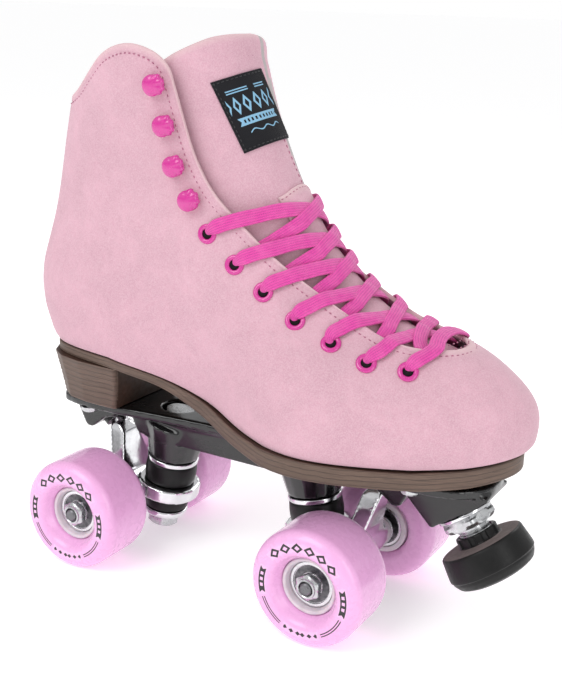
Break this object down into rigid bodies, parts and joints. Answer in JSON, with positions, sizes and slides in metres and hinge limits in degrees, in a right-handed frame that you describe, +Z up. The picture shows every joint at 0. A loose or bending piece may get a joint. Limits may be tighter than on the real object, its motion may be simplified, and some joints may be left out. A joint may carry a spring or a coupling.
{
  "type": "quad roller skate",
  "caption": "High-top laced suede boot on a nylon plate with two cushion-sprung trucks, urethane wheels on ball bearings and a screw-in toe stop; right foot.",
  "frame": {"origin": "on the ground under the middle of the skate's overall box", "axes": "+X from heel to toe, +Y to the wearer's left, +Z up"},
  "size_m": [0.2786, 0.1144, 0.2691],
  "materials": {
    "suede": "napped pink suede",
    "lining": "grey cloth and leather",
    "label": "woven, dark",
    "lace": "flat woven cord, magenta",
    "enamel": "glossy hot pink enamel",
    "stacked_leather": "stacked layers, brown, wood-like grain",
    "insole_board": "tan board",
    "nylon": "black moulded nylon",
    "chrome": "bright chrome",
    "zinc": "bright zinc",
    "cushion_rubber": "black urethane rubber",
    "stop_rubber": "black rubber",
    "urethane": "lilac pink urethane, slightly glossy",
    "hub_nylon": "off-white nylon",
    "bearing_steel": "shielded ball bearing"
  },
  "bodies": {
    "skate": {"boot_upper": "suede", "boot_lining": "lining", "tongue": "suede", "tongue_label": "label", "insole": "insole_board", "back_stay": "lining", "lace": "lace", "eyelets_right": "enamel", "hooks_right": "enamel", "eyelets_left": "enamel", "hooks_left": "enamel", "outsole": "stacked_leather", "heel_block": "stacked_leather", "plate": "nylon", "mount_bolt_rear_left": "zinc", "mount_bolt_rear_right": "zinc", "mount_bolt_front_left": "zinc", "mount_bolt_front_right": "zinc", "toe_stop_nut": "zinc", "toe_stop_washer": "zinc", "kingpin_front": "zinc", "kingpin_nut_front": "zinc", "upper_cushion_front": "cushion_rubber", "lower_cushion_front": "cushion_rubber", "upper_retainer_front": "chrome", "lower_retainer_front": "chrome", "pivot_cup_front": "cushion_rubber", "kingpin_rear": "zinc", "kingpin_nut_rear": "zinc", "upper_cushion_rear": "cushion_rubber", "lower_cushion_rear": "cushion_rubber", "upper_retainer_rear": "chrome", "lower_retainer_rear": "chrome", "pivot_cup_rear": "cushion_rubber"},
    "front_truck": {"hanger_front": "chrome", "axle_front": "zinc", "axle_nut_front_left": "zinc", "axle_nut_front_right": "zinc"},
    "wheel_front_left": {"tyre_front_left": "urethane", "hub_front_left": "hub_nylon", "outer_bearing_front_left": "bearing_steel", "inner_bearing_front_left": "bearing_steel"},
    "wheel_front_right": {"tyre_front_right": "urethane", "hub_front_right": "hub_nylon", "outer_bearing_front_right": "bearing_steel", "inner_bearing_front_right": "bearing_steel"},
    "rear_truck": {"hanger_rear": "chrome", "axle_rear": "zinc", "axle_nut_rear_left": "zinc", "axle_nut_rear_right": "zinc"},
    "wheel_rear_left": {"tyre_rear_left": "urethane", "hub_rear_left": "hub_nylon", "outer_bearing_rear_left": "bearing_steel", "inner_bearing_rear_left": "bearing_steel"},
    "wheel_rear_right": {"tyre_rear_right": "urethane", "hub_rear_right": "hub_nylon", "outer_bearing_rear_right": "bearing_steel", "inner_bearing_rear_right": "bearing_steel"},
    "toe_stop": {"toe_stop_pad": "stop_rubber", "toe_stop_stem": "zinc"}
  },
  "joints": [
    {"name": "front_truck_steer", "type": "hinge", "parent": "skate", "child": "front_truck", "pos_m": [0.02949, 0, 0.0325], "axis": [0.7395, 0, 0.6732], "range_deg": [-8, 8], "stiffness_Nm_per_rad": 35, "deforming": ["upper_cushion_front", "lower_cushion_front"]},
    {"name": "rear_truck_steer", "type": "hinge", "parent": "skate", "child": "rear_truck", "pos_m": [-0.06331, 0, 0.0325], "axis": [-0.7395, 0, 0.6732], "range_deg": [-8, 8], "stiffness_Nm_per_rad": 35, "deforming": ["upper_cushion_rear", "lower_cushion_rear"]},
    {"name": "wheel_front_left_spin", "type": "hinge", "parent": "front_truck", "child": "wheel_front_left", "pos_m": [0.05209, 0.0404, 0.0285], "axis": [0, 1, 0], "continuous": true},
    {"name": "wheel_front_right_spin", "type": "hinge", "parent": "front_truck", "child": "wheel_front_right", "pos_m": [0.05209, -0.0404, 0.0285], "axis": [0, 1, 0], "continuous": true},
    {"name": "wheel_rear_left_spin", "type": "hinge", "parent": "rear_truck", "child": "wheel_rear_left", "pos_m": [-0.08591, 0.0404, 0.0285], "axis": [0, 1, 0], "continuous": true},
    {"name": "wheel_rear_right_spin", "type": "hinge", "parent": "rear_truck", "child": "wheel_rear_right", "pos_m": [-0.08591, -0.0404, 0.0285], "axis": [0, 1, 0], "continuous": true},
    {"name": "toe_stop_height", "type": "slide", "parent": "skate", "child": "toe_stop", "axis": [0.5736, 0, -0.8192], "range_m": [-0.0025, 0.006]}
  ]
}
